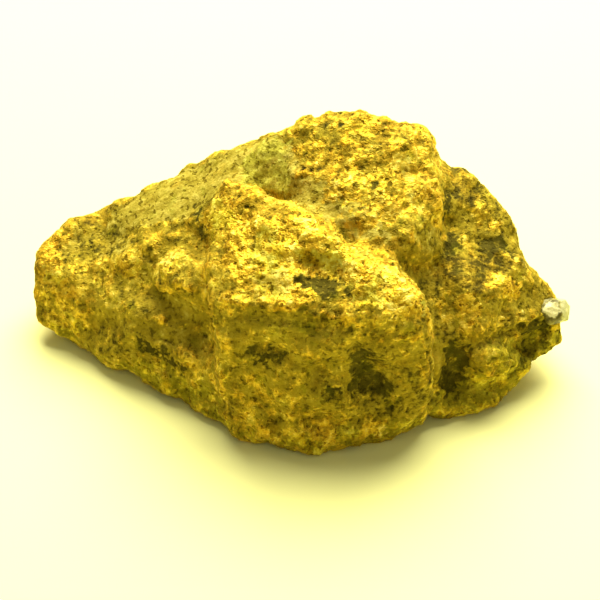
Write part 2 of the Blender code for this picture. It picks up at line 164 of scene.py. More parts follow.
ZONES = {
    "front_face": (STEEP, [
        [(-3.5, -10.2, 7.0, 4.2), (5.0, -10.8, 6.5, 5.0)],
        [(-8.6, -5.6, 4.0, 3.0), (-14.0, -1.4, 3.4, 2.4)],
        [(9.0, -9.5, 5.0, 3.0), (15.0, -6.4, 3.6, 2.6)],
    ]),
    # Painted shade under the nose's front, darkened through its dirt share.
    "left_front_painted_shade": (Looks(crust=0.45, gold=0.10, soil=0.20), [
        [(-14.6, -1.6, 3.4, 1.8), (-11.4, -3.6, 4.2, 1.6)],
    ]),
    "low_front_gold": (PLAIN, [
        [(-3.4, -11.0, 3.6, 2.2), (3.0, -11.6, 2.2, 1.8)],
        [(-8.6, -6.6, 4.2, 1.7), (-4.4, -10.0, 5.6, 1.9)],
    ]),
    "right_side": (SIDE, [
        [(11.0, -3.0, 10.0, 2.6), (15.0, -3.6, 7.0, 3.0)],
        [(15.0, -3.6, 7.0, 3.0), (18.4, -2.4, 4.6, 2.0)],
    ]),
    # Painted reflection: the bottom edge is kept almost free of dark dirt and tinted olive, standing in
    # for the pale sheet's reflection.
    "foot_painted_reflection": (Looks(crust=0.5, gold=0.32, clay=0.10, soil=0.02, tint=-1.0), [
        [(-17.5, 0.2, 0.8, 2.2), (-8.0, -6.4, 0.8, 2.2)],
        [(-8.0, -6.4, 0.8, 2.2), (3.0, -11.4, 0.4, 2.0)],
        [(3.0, -11.4, 0.4, 2.0), (14.5, -6.6, 1.0, 2.8)],
        [(14.5, -6.6, 1.6, 2.8), (18.6, -2.4, 3.8, 1.8)],
    ]),
    "shoulder": (Looks(crust=0.6, gold=0.16, clay=0.22, soil=0.38), [
        [(11.6, 3.0, 12.6, 2.4), (14.6, 1.4, 10.4, 2.6)],
    ]),
    "summit": (MOTTLED, [
        [(1.6, 3.6, 17.0, 2.6), (7.6, 3.0, 17.6, 3.0)],
        [(3.0, -0.4, 16.0, 2.0), (9.0, -0.6, 15.0, 2.4)],
    ]),
    "summit_gold": (HALF_WORN, [
        [(3.7, 3.9, 18.4, 1.2), (7.0, 3.3, 17.7, 1.4)],
        [(3.5, -1.0, 16.1, 1.1), (7.3, -1.5, 15.4, 1.4)],
    ]),
    "facet": (WORN, [
        [(-4.2, -1.6, 15.2, 2.2), (-2.6, -6.0, 13.8, 2.6)],
        [(-0.6, -7.6, 13.4, 2.4), (0.4, -4.4, 15.0, 1.8)],
        [(3.0, -6.8, 14.0, 1.8), (7.4, -8.6, 12.6, 1.9)],
    ]),
    "facet_top": (Looks(crust=0.9, gold=0.24, clay=0.2, soil=0.30, tint=1.0), [
        [(-4.6, 0.2, 15.4, 1.4), (-2.0, -2.6, 15.4, 1.3)],
    ]),
    "facet_left": (Looks(crust=0.8, gold=0.75, clay=0.2, pale=0.25, tint=-1.0), [
        [(-6.1, -0.2, 14.6, 0.9), (-5.2, -2.6, 14.3, 0.9)],
    ]),
    "block_edge": (Looks(crust=0.4, gold=0.35, clay=0.7, pale=0.2, tint=-0.3), [
        [(6.8, -5.4, 13.4, 0.7), (8.7, -7.0, 12.6, 0.8)],
        [(8.7, -7.0, 12.6, 0.8), (9.0, -9.2, 11.6, 0.7)],
    ]),
    "bright_flakes": (Looks(crust=0.6, gold=1.0, pale=0.50, tint=-0.8), [
        [(-2.6, -4.9, 14.4, 1.2), (-1.9, -7.9, 12.9, 1.4)],
        [(5.9, -8.1, 13.6, 0.9), (4.7, -9.4, 13.2, 1.0)],
        [(0.8, -6.3, 14.2, 0.8), (2.8, -6.7, 14.0, 0.9)],
    ]),
    "spur": (WORN, [
        [(13.8, -3.2, 9.3, 0.9), (15.6, -2.9, 8.2, 0.8)],
    ]),
    # Painted shade along the nose's upper edge, darkened through its dirt share, with a rusty tint.
    "nose_edge_painted_shade": (Looks(crust=0.5, gold=0.25, clay=0.2, soil=0.36, tint=0.8), [
        [(-19.4, 4.6, 5.8, 1.2), (-16.8, 6.8, 6.9, 1.3)],
        [(-16.8, 6.8, 6.9, 1.3), (-13.6, 7.4, 8.2, 1.1)],
    ]),
    "nose_gold": (Looks(crust=0.9, gold=0.60, clay=0.15, soil=0.05, pale=0.1, tint=0.3), [
        [(-19.0, 3.0, 5.8, 0.9), (-17.8, 4.5, 6.7, 1.0)],
    ]),
    "nose_side": (Looks(crust=0.8, gold=0.45, clay=0.1, pale=0.1, tint=-0.3), [
        [(-18.9, 1.7, 4.8, 1.0), (-17.8, 0.5, 2.6, 1.2)],
    ]),
    "nose_end": (Looks(crust=0.5, gold=0.2, soil=0.40, tint=0.9), [
        [(-19.9, 2.0, 3.8, 0.8), (-19.7, 3.6, 5.4, 0.8)],
    ]),
    "low_gold": (HALF_WORN, [
        [(0.8, -11.4, 2.4, 1.1), (2.0, -11.3, 1.8, 1.0)],
        [(5.0, -11.0, 1.9, 0.8), (6.0, -10.8, 1.6, 0.7)],
        [(12.8, 1.9, 12.0, 0.7), (14.4, 1.6, 11.2, 0.7)],
    ]),
    "back_gold": (WORN, [
        [(2.0, 11.4, 8.4, 2.2), (-1.6, 11.6, 4.6, 2.2)],
        [(12.0, 7.6, 6.4, 2.0), (9.6, 9.6, 4.0, 2.0)],
        [(-9.0, 9.0, 8.6, 1.8), (-5.0, 9.6, 10.4, 2.0)],
    ]),
    "long_slope": (CLAY, [
        [(-13.3, 4.9, 8.6, 1.2), (-12.6, 4.8, 9.2, 1.6)],
        [(-12.6, 4.8, 9.2, 1.6), (-8.8, 4.5, 11.5, 2.5)],
        [(-8.8, 4.5, 11.5, 2.5), (-2.8, 4.2, 15.4, 1.9)],
    ]),
    # Clay on the nose's top, with painted shade in its dirt share.
    "nose_clay_and_painted_shade": (Looks(crust=0.4, gold=0.2, clay=0.40, soil=0.46), [
        [(-16.6, 4.2, 6.6, 1.3), (-14.1, 3.7, 7.4, 1.5)],
        [(-14.1, 3.7, 7.4, 1.5), (-12.9, 0.6, 7.8, 1.1)],
    ]),
    "nose_bright": (Looks(crust=0.5, gold=0.75, clay=0.3, pale=0.2, tint=-0.4), [
        [(-14.6, 1.6, 6.6, 0.8), (-12.8, 0.4, 7.8, 1.0)],
        [(-12.8, 0.3, 7.8, 0.9), (-11.9, 0.4, 8.2, 0.8)],
        [(-18.9, 2.3, 5.6, 0.9), (-18.0, 1.2, 5.2, 0.9)],
    ]),
    "valley": (THIN_CLAY, [
        [(-2.7, 3.1, 14.8, 1.5), (-0.6, 1.6, 15.2, 1.6)],
        [(-0.6, 1.6, 15.2, 1.6), (2.6, -1.9, 15.0, 1.3)],
        [(2.6, -1.9, 15.0, 1.3), (5.8, -3.6, 13.9, 1.1)],
    ]),
    # Pale clay, made paler with crumb and bare gold as painted light, where this head of the valley
    # faces away from the lamps.
    "valley_head_painted_light": (Looks(crust=0.2, gold=0.7, clay=0.85, pale=0.60, tint=-1.0), [
        [(-3.4, 3.4, 14.4, 1.4), (-1.3, 2.1, 14.6, 1.3)],
        [(-2.6, 4.2, 15.7, 0.9), (-1.0, 3.6, 16.1, 0.8)],
    ]),
    "crest": (Looks(crust=0.95, gold=0.32, clay=0.1, soil=0.32, tint=1.0), [
        [(0.2, -3.0, 15.6, 0.9), (2.4, -3.8, 15.0, 0.9)],
        [(2.6, -4.2, 14.8, 0.8), (4.2, -5.0, 14.3, 1.0)],
        [(4.2, -5.0, 14.3, 1.0), (6.2, -5.2, 13.6, 1.2)],
        [(6.2, -5.4, 13.6, 1.0), (7.4, -6.4, 13.2, 0.7)],
    ]),
    "right_band": (Looks(crust=0.5, gold=0.3, clay=0.2, soil=0.18), [
        [(7.4, -3.9, 12.8, 1.3), (9.4, -4.0, 9.8, 1.4)],
    ]),
    "summit_front": (DUSTY_CLAY, [
        [(7.3, -3.0, 13.7, 1.0), (9.4, -2.4, 12.6, 1.2)],
    ]),
    "summit_pale": (PALE_CLAY, [
        [(7.4, 1.3, 16.3, 1.0), (9.2, 1.0, 15.8, 1.0)],
        [(8.2, -0.5, 15.2, 0.8), (9.3, -0.6, 15.0, 0.7)],
        [(3.4, -3.1, 14.6, 0.7), (5.2, -3.2, 14.7, 0.8)],
        [(5.6, -2.4, 15.1, 0.8), (6.8, -2.3, 15.0, 0.7)],
        [(2.4, -1.1, 15.8, 0.7), (4.0, -1.6, 15.8, 0.6)],
    ]),
    "back_clay": (CLAY, [
        [(9.0, 9.0, 9.5, 1.6), (3.0, 10.5, 12.0, 2.2)],
        [(-8.0, 10.0, 6.0, 1.8), (-12.5, 9.6, 4.2, 1.8)],
        [(16.5, 3.4, 4.0, 1.6), (13.4, 6.4, 4.6, 1.8)],
    ]),
    "pocket": (SMOOTH_OCHRE, [
        [(-10.4, -2.4, 6.8, 1.2), (-7.4, -4.0, 6.6, 1.4)],
        [(-9.8, -4.3, 5.2, 0.7), (-7.4, -4.8, 5.4, 0.8)],
    ]),
    "front_top": (Looks(crust=0.3, gold=0.06, clay=0.1, soil=0.20, tint=-0.2), [
        [(-4.0, -9.5, 11.3, 0.9), (0.6, -10.4, 11.5, 0.9)],
    ]),
    # Painted shade: the right half of the steep front face and a column below the facet's lip, darkened
    # through their dirt share.
    "front_right_painted_shade": (Looks(crust=0.45, gold=0.08, soil=0.46), [
        [(4.2, -11.2, 8.6, 1.8), (8.0, -10.2, 5.0, 2.4)],
        [(3.3, -10.9, 10.6, 0.6), (3.4, -11.2, 9.0, 0.8)],
    ]),
    # Thin dirt in places, and painted shade at the pocket's edges, under the nose's front and low on
    # the front face.
    "thin_soil_and_painted_shade": (THIN_SOIL_AND_SHADE, [
        [(-17.0, 2.7, 6.3, 0.8), (-15.3, 3.9, 6.9, 1.0)],
        [(2.6, -8.4, 13.2, 0.8), (3.6, -9.4, 12.8, 0.6)],
        [(9.4, -4.4, 9.8, 1.2), (10.2, -6.4, 7.6, 1.4)],
        [(1.4, 5.2, 17.5, 0.9), (2.6, 3.2, 17.7, 0.8)],
        [(7.1, -3.2, 14.2, 0.8), (9.2, -1.8, 13.7, 0.8)],
        [(-8.6, -3.6, 9.6, 0.8), (-7.8, -2.8, 10.1, 0.7)],
        [(-9.0, 0.6, 9.8, 0.6), (-8.3, 0.5, 10.1, 0.6)],
        [(-12.2, -1.8, 6.4, 0.8), (-10.8, -2.6, 6.5, 0.7)],
        [(-14.2, -2.4, 3.4, 0.9), (-13.0, -3.0, 3.6, 0.9)],
        [(8.9, -10.3, 10.2, 0.8), (9.3, -10.1, 6.6, 1.0)],
        [(3.0, -11.4, 5.1, 1.3), (6.6, -10.6, 3.6, 1.4)],
        [(-15.6, -1.2, 1.7, 1.3), (-13.4, -2.9, 2.4, 1.4)],
        [(-12.9, -0.8, 6.4, 0.8), (-11.9, -1.6, 6.2, 0.7)],
    ]),
    "shoulder_soil": (Looks(crust=0.6, gold=0.05, soil=0.68, tint=0.8), [
        [(11.2, -3.0, 10.3, 1.3), (12.8, -3.5, 9.8, 1.2)],
        [(12.8, -2.6, 10.0, 1.2), (14.4, -1.4, 9.6, 1.1)],
        [(11.8, 4.2, 13.4, 1.1), (12.4, 2.5, 12.6, 0.9)],
        [(15.0, -0.3, 9.8, 0.8), (16.1, -0.5, 9.1, 0.9)],
    ]),
    # Painted shade under the pointed end, darkened through its dirt share, with an olive tint that
    # paints the sheet's reflection.
    "tip_under_painted_shade": (Looks(crust=0.6, gold=0.10, soil=0.48, tint=-1.0), [
        [(14.3, -6.4, 5.6, 0.8), (15.8, -5.5, 3.2, 1.0)],
        [(15.8, -5.4, 2.9, 1.1), (18.4, -2.6, 3.5, 1.2)],
    ]),
    "band_gold": (HALF_WORN, [
        [(10.6, -5.0, 8.7, 0.8), (12.6, -5.4, 8.6, 0.8)],
    ]),
    "summit_soil": (Looks(crust=0.9, gold=0.30, clay=0.1, soil=0.32, tint=0.8), [
        [(0.7, 1.2, 16.1, 0.9), (3.1, 0.5, 16.5, 0.9)],
        [(3.6, 1.4, 17.3, 0.9), (6.0, 1.7, 17.3, 0.9)],
        [(1.5, 5.4, 17.4, 1.0), (4.6, 5.4, 18.0, 1.0)],
        [(6.4, 4.5, 18.0, 0.9), (8.0, 4.2, 17.4, 1.0)],
        [(9.6, 3.8, 15.1, 1.2), (10.8, 3.6, 14.0, 1.2)],
        [(6.4, 3.5, 17.8, 1.0), (7.6, 3.4, 17.6, 1.0)],
        [(4.6, -0.9, 16.2, 0.5), (6.0, -0.8, 16.2, 0.5)],
    ]),
    "facet_dirt": (Looks(crust=0.7, gold=0.1, soil=0.90, tint=-0.2), [
        [(0.4, -7.9, 13.3, 0.9), (2.0, -8.4, 13.0, 1.2)],
    ]),
    # Dirt in the deepest pits, darkened further as painted shade in them.
    "hollows": (DEEP_SOIL_AND_SHADE, [
        [(11.6, -6.8, 5.8, 1.0), (11.2, -6.9, 3.0, 1.4)],
        [(10.7, 1.2, 13.0, 0.6), (10.9, 0.4, 12.4, 0.6)],
        [(11.2, -1.2, 11.0, 0.9), (11.4, -0.4, 11.4, 0.7)],
        [(13.8, -0.4, 10.1, 0.8), (15.7, -0.1, 9.5, 0.8)],
        [(4.7, -11.0, 8.8, 0.6), (4.6, -10.2, 6.4, 1.1)],
        [(4.2, -10.0, 5.4, 1.1), (6.2, -10.2, 5.1, 1.0)],
        [(16.8, -3.9, 5.4, 0.8), (18.2, -2.6, 4.4, 0.8)],
        [(-3.5, -10.0, 8.3, 0.5), (-1.7, -10.4, 8.2, 0.6)],
        [(1.8, -11.1, 8.4, 0.6), (2.1, -11.1, 8.1, 0.5)],
        [(2.2, -11.4, 6.2, 0.4), (2.6, -11.3, 5.9, 0.4)],
        [(-11.6, -3.6, 4.0, 0.6), (-8.4, -6.0, 3.4, 0.6)],
        [(5.6, -0.8, 16.2, 0.4), (5.9, -0.7, 16.2, 0.3)],
        [(-7.5, 2.6, 11.7, 0.4), (-7.2, 0.4, 11.0, 0.5)],
    ]),
    "pale_ledge": (CRUMBLY, [
        [(-10.8, 0.2, 9.1, 0.5), (-9.9, -1.3, 9.5, 0.7)],
        [(-9.9, -1.3, 9.5, 0.7), (-8.7, -0.8, 9.9, 0.7)],
    ]),
    "pale_spots": (CRUMBLY, [
        [(-2.6, -0.2, 16.0, 0.4), (-2.2, -0.5, 16.0, 0.3)],
        [(16.2, -3.9, 6.4, 0.35), (16.6, -3.6, 6.5, 0.3)],
        [(17.4, -1.0, 7.4, 0.35), (18.2, -1.2, 7.0, 0.35)],
        [(-6.6, -6.0, 7.4, 0.35), (-6.4, -7.2, 8.4, 0.3)],
    ]),
}

# Swells, cuts and lips end at the first of these, in widths from their line, and have their full
# height or depth up to the second.
SWELL_FADE = (1.5, 0.2)
CUT_FADE = (1.3, 0.3)
LIP_FADE = (1.5, 0.4)

# Ragged lips of metal: (x, y, z) along each, then its width and how far it stands out.
LIPS = [
    ([(-7.0, 1.7, 12.2), (-6.4, -0.6, 13.2), (-6.2, -2.4, 13.4), (-6.3, -3.4, 13.0)], 0.5, 0.42),
    ([(-6.5, -5.2, 12.2), (-6.4, -7.2, 11.5), (-6.2, -8.4, 10.6), (-5.6, -9.0, 9.4)], 0.4, 0.3),
    ([(-5.5, -8.1, 11.6), (-3.3, -8.9, 11.9), (-1.0, -9.5, 12.6), (1.2, -9.9, 12.0)], 0.35, 0.38),
    ([(1.2, -9.9, 12.0), (3.3, -10.6, 12.2), (4.7, -10.1, 12.6), (6.6, -10.2, 11.9)], 0.35, 0.44),
    ([(1.5, -10.5, 11.3), (2.9, -10.9, 11.2), (4.4, -10.9, 11.6)], 0.3, 0.2),
    (
        [(7.6, -7.0, 12.9), (8.8, -8.4, 12.0), (9.1, -9.6, 10.6), (9.0, -10.2, 9.4), (8.9, -10.5, 7.0)],
        0.4, 0.24,
    ),
    ([(4.9, -10.9, 11.0), (5.6, -10.9, 10.2), (7.3, -10.8, 10.2), (8.6, -10.5, 10.4)], 0.35, 0.2),
    ([(-10.6, -3.2, 6.0), (-9.2, -3.9, 5.6), (-7.6, -4.2, 5.8), (-6.7, -5.6, 7.0)], 0.3, 0.26),
    ([(-11.0, 0.1, 9.1), (-9.9, -1.9, 9.5), (-9.4, -3.1, 9.3), (-7.9, -3.8, 9.4)], 0.35, 0.26),
    ([(13.2, -6.2, 7.1), (14.5, -4.8, 6.8), (16.3, -3.9, 6.4), (17.6, -3.2, 6.0)], 0.4, 0.35),
    ([(13.7, -7.2, 5.0), (15.3, -4.7, 5.2), (16.3, -4.1, 5.0)], 0.35, 0.3),
    ([(12.8, -6.6, 3.1), (14.7, -6.4, 3.3), (16.2, -4.2, 3.4)], 0.35, 0.28),
    ([(14.9, -0.6, 9.6), (16.3, -0.8, 8.8), (17.8, -1.6, 7.6)], 0.4, 0.2),
    ([(17.9, -3.1, 5.4), (18.4, -3.2, 4.8), (19.2, -2.9, 4.6), (19.7, -2.4, 4.8)], 0.3, 0.35),
    ([(17.8, -2.9, 5.8), (17.9, -2.4, 6.4), (18.6, -1.6, 6.6), (19.4, -1.3, 6.2)], 0.3, 0.35),
]

# Broad swells of the outline: (x, y, z) along each, then its width and how far it rises, or sinks
# where that is below 0.
SWELLS = [
    ([(-16.6, 6.8, 6.6), (-14.6, 7.8, 6.9), (-13.8, 7.4, 7.8)], 1.5, 0.66),
    ([(-19.0, 5.2, 5.8), (-17.4, 6.1, 6.7)], 1.1, 0.35),
    ([(-19.2, 1.4, 1.7), (-18.0, 0.7, 1.5)], 0.8, 0.50),
    ([(-7.6, 7.4, 11.6), (-5.8, 7.1, 12.8), (-4.4, 6.2, 14.0)], 1.4, 0.40),
    ([(-2.6, 6.8, 15.2), (-0.4, 6.4, 16.4)], 1.6, -0.22),
    ([(0.9, 5.7, 17.2), (1.9, 5.8, 17.4)], 0.9, 0.45),
    ([(8.4, 5.1, 16.8), (9.6, 5.2, 15.8)], 0.9, 0.38),
    ([(12.3, 4.9, 12.9), (13.3, 4.3, 12.6)], 0.9, 0.30),
    ([(17.3, 1.1, 7.7), (18.4, 0.2, 6.7)], 1.0, -0.28),
    ([(16.8, -3.8, 3.7), (18.4, -2.8, 3.7)], 0.9, -0.32),
    ([(18.9, -2.9, 4.5), (19.7, -2.0, 4.8)], 0.7, 0.50),
]

# Pits, sharp-edged cuts and the gaps under ledges: (x, y, z) along each, then its width and depth.
CUTS = [
    ([(4.2, -11.1, 9.4), (4.8, -10.7, 7.4), (5.4, -10.2, 5.4)], 0.85, 0.5),
    ([(1.6, -11.1, 8.3), (2.2, -11.1, 7.9)], 0.5, 0.35),
    ([(1.8, -11.5, 5.6), (2.5, -11.4, 5.4)], 0.45, 0.3),
    ([(11.5, -7.0, 5.4), (11.2, -6.9, 2.8)], 0.95, 0.5),
    (
        [
            (-4.6, -9.2, 11.0), (-1.4, -10.1, 11.5), (1.4, -10.7, 11.2), (4.4, -11.1, 11.4),
            (7.0, -10.9, 11.2),
        ],
        0.5, 0.22,
    ),
    ([(-11.3, 0.2, 8.8), (-10.6, -1.6, 8.8), (-9.4, -3.4, 8.8), (-7.8, -4.2, 8.8)], 0.4, 0.3),
    ([(-10.5, -4.6, 4.9), (-8.3, -5.0, 4.8), (-6.7, -6.8, 5.4)], 0.35, 0.3),
    ([(-7.7, 3.0, 12.2), (-7.2, 1.4, 12.0), (-7.3, -0.8, 12.0)], 0.4, 0.35),
    ([(-3.6, -9.9, 8.3), (-2.4, -10.0, 9.1), (-1.1, -10.3, 8.5)], 0.4, 0.25),
    ([(5.0, -11.1, 10.3), (6.4, -11.0, 9.7), (8.0, -10.8, 9.7)], 0.3, 0.2),
    ([(13.4, -6.6, 6.3), (15.0, -5.2, 6.0), (16.6, -4.2, 5.6)], 0.4, 0.35),
    ([(13.6, -7.4, 4.4), (15.2, -5.9, 4.4), (16.4, -4.8, 4.5)], 0.4, 0.3),
    ([(12.2, -7.2, 2.6), (14.4, -7.0, 2.9), (16.0, -5.6, 2.7)], 0.35, 0.25),
    ([(12.8, 0.0, 10.6), (14.4, 0.2, 9.9), (16.0, 0.4, 9.4)], 0.5, 0.3),
]


def node_copy(name, node):
    """A new piece with this name and a copy of the CAD node's mesh, without its material."""
    piece = bpy.data.objects.new(name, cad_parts[node].data.copy())
    bpy.context.scene.collection.objects.link(piece)
    piece.data.materials.clear()
    return piece


def remesh(piece, cell):
    """Give the piece a closed mesh of even cells of this width."""
    even = piece.modifiers.new("even", "REMESH")
    even.mode = "VOXEL"
    even.voxel_size = cell * MM
    mesh = bpy.data.meshes.new_from_object(piece.evaluated_get(bpy.context.evaluated_depsgraph_get()))
    piece.modifiers.clear()
    piece.data = mesh


def read_points(mesh):
    flat = np.empty(len(mesh.vertices) * 3, dtype=np.float32)
    mesh.vertices.foreach_get("co", flat)
    return flat.reshape(-1, 3).astype(float) / MM


def write_points(mesh, points):
    mesh.vertices.foreach_set("co", (points * MM).astype(np.float32).ravel())
    mesh.update()


def read_edges(mesh):
    flat = np.empty(len(mesh.edges) * 2, dtype=np.int32)
    mesh.edges.foreach_get("vertices", flat)
    return flat.reshape(-1, 2)


def read_normals(mesh):
    flat = np.empty(len(mesh.vertices) * 3, dtype=np.float32)
    mesh.vertex_normals.foreach_get("vector", flat)
    return flat.reshape(-1, 3).astype(float)


def neighbour_mean(values, edges, count):
    starts, ends = edges.T
    total = [
        np.bincount(starts, column[ends], len(values)) + np.bincount(ends, column[starts], len(values))
        for column in values.T
    ]
    return np.stack(total, axis=1) / count


def smoothed(values, edges, rounds, keep_size=False):
    """Blend each point's values with its neighbours', again and again."""
    count = np.bincount(edges.ravel(), minlength=len(values))[:, None]
    for _ in range(rounds):
        values = values + SMOOTHING * (neighbour_mean(values, edges, count) - values)
        if keep_size:
            values = values - STEP_BACK * (neighbour_mean(values, edges, count) - values)
    return values


def soft_step(values, start, end):
    """0 at the start and before it, 1 at the end and past it, with a soft rise between them."""
    share = np.clip((values - start) / (end - start), 0, 1)
    return share * share * (3 - 2 * share)


def from_stretch(points, start, end):
    """How far each point is from a straight stretch, and the share of the stretch that it is along."""
    along = end - start
    share = np.clip((points - start) @ along / (along @ along), 0, 1)
    return np.linalg.norm(points - start - share[:, None] * along, axis=1), share


def near_line(points, line):
    """How far each point is from a line of straight stretches."""
    nearest = np.full(len(points), np.inf)
    for start, end in zip(np.array(line)[:-1], np.array(line)[1:]):
        gap, _ = from_stretch(points, start, end)
        nearest = np.minimum(nearest, gap)
    return nearest


def inside(points, stretches):
    """1 well inside a zone's stretches, falling softly to 0 a little past their radius."""
    near = np.zeros(len(points))
    for start, end in np.array(stretches):
        gap, share = from_stretch(points, start[:3], end[:3])
        radius = start[3] + share * (end[3] - start[3])
        near = np.maximum(near, ZONE_REACH - gap / radius)
    return soft_step(near, 0.0, ZONE_FADE)


def wander(points, spacing, seed, octaves):
    """Smooth noise from about -1 to 1, with its lumps this far apart."""
    places = points * (2 / spacing) + seed * SEED_STEP
    return np.array([
        noise.fractal(Vector(place), OCTAVE_DECAY, OCTAVE_SCALE, octaves) for place in places
    ])


def wander_each_way(points, spacing, seeds, octaves):
    """Smooth noise along X, Y and Z, from a seed for each."""
    return np.stack([wander(points, spacing, seed, octaves) for seed in seeds], axis=1)


def looks_at(points):
    """The zones' looks at each point, one column for each."""
    looks = np.tile(np.array(PLAIN), (len(points), 1))
    for zone, stretches in ZONES.values():
        share = inside(points, stretches)[:, None]
        looks = looks * (1 - share) + np.array(zone) * share
    return looks


def raise_swells(height, points):
    """Add the broad swells to the height of the points."""
    for line, width, rise in SWELLS:
        height += rise * soft_step(near_line(points, line) / width, *SWELL_FADE)


def sink_cuts(height, points, stray, coarse):
    """Take the cuts off the height of the points, and return how deep in a cut each one is."""
    in_cut = np.zeros(len(points))
    for line, width, depth in CUTS:
        near = soft_step(near_line(points + CUT_STRAY * stray, line) / width, *CUT_FADE)
        height -= near * depth * (0.8 + 0.4 * coarse)
        in_cut = np.maximum(in_cut, near)
    return in_cut


def raise_lips(height, points, stray):
    """Add the ragged lips to the height of the points, and return how much of one each is on."""
    on_lip = np.zeros(len(points))
    flake = wander(points * np.array(FLAKE_SQUASH), *FLAKES)
    for line, width, rise in LIPS:
        near = soft_step(near_line(points + LIP_STRAY * stray, line) / width, *LIP_FADE)
        height += near * rise * (0.45 + 0.9 * flake)
        on_lip = np.maximum(on_lip, near * soft_step(flake, -0.5, 0.1))
    return on_lip


def close_on_grain(points, coarse):
    """Draw the gold round the quartz grain in towards it, furthest under it."""
    grain = np.array(GRAIN_MIDDLE)
    reach = np.linalg.norm(points - grain, axis=1, keepdims=True)
    under = soft_step(grain[2] - points[:, 2:], -0.4, 0.8)
    closed = GOLD_CLOSES * (1 + 1.3 * under + 0.8 * coarse[:, None]) * soft_step(reach, *CLOSING_REACH)
    return points + (grain - points) / reach * closed


def keep_in_box(points, end_spare=0.0):
    """Keep the points in the CAD box, or this much short of its end at the quartz grain."""
    low, high = np.array(cad_box) / MM
    return np.clip(points, low, high - np.array([end_spare, 0, 0]))


def add_attributes(mesh, attributes):
    for name, values in attributes.items():
        layer = mesh.attributes.new(name, "FLOAT", "POINT")
        layer.data.foreach_set("value", np.clip(values, 0, 1).astype(np.float32))


def bare_form(mesh):
    """Take the CAD solid's facets off the skin. Return its points, the way out of it at each, where
    they would be with all hollows and ridges smoothed away, and how deep in a hollow each one is."""
    edges = read_edges(mesh)
    points = smoothed(read_points(mesh), edges, FACET_ROUNDS, keep_size=True)
    write_points(mesh, points)
    outward = smoothed(read_normals(mesh), edges, NORMAL_ROUNDS)
    outward /= np.linalg.norm(outward, axis=1, keepdims=True)
    rounded = smoothed(points, edges, HOLLOW_ROUNDS)
    hollow = ((rounded - points) * outward).sum(axis=1)
    return points, outward, rounded, hollow


def crust_relief(points, stray, coarse):
    """Crumpled crests with grit on them and pits between them, over the coarse lumps."""
    crests = 1 - 2 * np.abs(wander(points + CREST_STRAY * stray, *CRESTS))
    return 0.55 * crests + 0.6 * wander(points, *GRIT) + 0.3 * coarse


def shape_skin(mesh):
    """Carve the crust into the nugget's skin, and note what lies on each point of it."""
    points, outward, rounded, hollow = bare_form(mesh)

    # What lies at each point. Dirt gathers in the hollows, and what has hardly any crust is worn round.
    stray = wander_each_way(points, *STRAY)
    crust, gold, clay, soil, pale, tint = looks_at(points + ZONE_STRAY * stray).T
    soil = np.maximum(soil, MOST_DIRT * soft_step(hollow, *DIRT_DEPTHS) * (1 - 0.5 * gold))
    points += (0.8 * soft_step(crust, 0.5, 0.2))[:, None] * (rounded - points)

    # The crust over coarse and broad lumps.
    coarse = wander(points, *COARSE_LUMPS)
    relief = crust_relief(points, stray, coarse)
    height = crust * CRUST_HEIGHT * relief + COARSE_HEIGHT * coarse * (0.3 + 0.7 * crust)
    height += BROAD_HEIGHT * wander(points, *BROAD_LUMPS) * (1 - 0.7 * clay)

    # The clay in the hollows, and the forms that have places of their own.
    height += CLAY_FILL * clay * np.clip(hollow, 0, 1)
    raise_swells(height, points)
    in_cut = sink_cuts(height, points, stray, coarse)
    # Dark dirt is painted into the cuts: dirt in the pits, and painted shade in the gaps under ledges.
    soil = np.maximum(soil, 0.5 * in_cut)
    on_lip = raise_lips(height, points, stray)
    height += pale * CRUMB_HEIGHT * wander(points, *CRUMBS)
    low_down = points[:, 2] < FLATS_TOP
    height[low_down] = np.minimum(height[low_down], 0)

    lean = LEAN * crust[:, None] * wander_each_way(points, *LEANING)
    moved = points + outward * height[:, None] + lean
    write_points(mesh, keep_in_box(close_on_grain(moved, coarse), GRAIN_PROUD))
    ridge = soft_step(-hollow, *RIDGE_HEIGHTS)
    add_attributes(mesh, {
        "relief": 0.5 + 0.5 * relief,
        "crust": crust,
        "gold": np.maximum(gold + 0.2 * ridge, on_lip * 0.75) * (1 - 0.5 * soil),
        "clay": clay * (1 - on_lip),
        "soil": soil * (1 - 0.7 * on_lip),
        "pale": pale,
        "tint": 0.5 + 0.5 * tint,
    })


def chip_grain(mesh):
    """Round the quartz grain's edges off a little, and chip its faces."""
    edges = read_edges(mesh)
    points = smoothed(read_points(mesh), edges, GRAIN_ROUNDS)
    write_points(mesh, points)
    chips = CHIP_RISE + CHIP_DEPTH * wander(points, *CHIPS)[:, None]
    write_points(mesh, keep_in_box(points + read_normals(mesh) * chips))


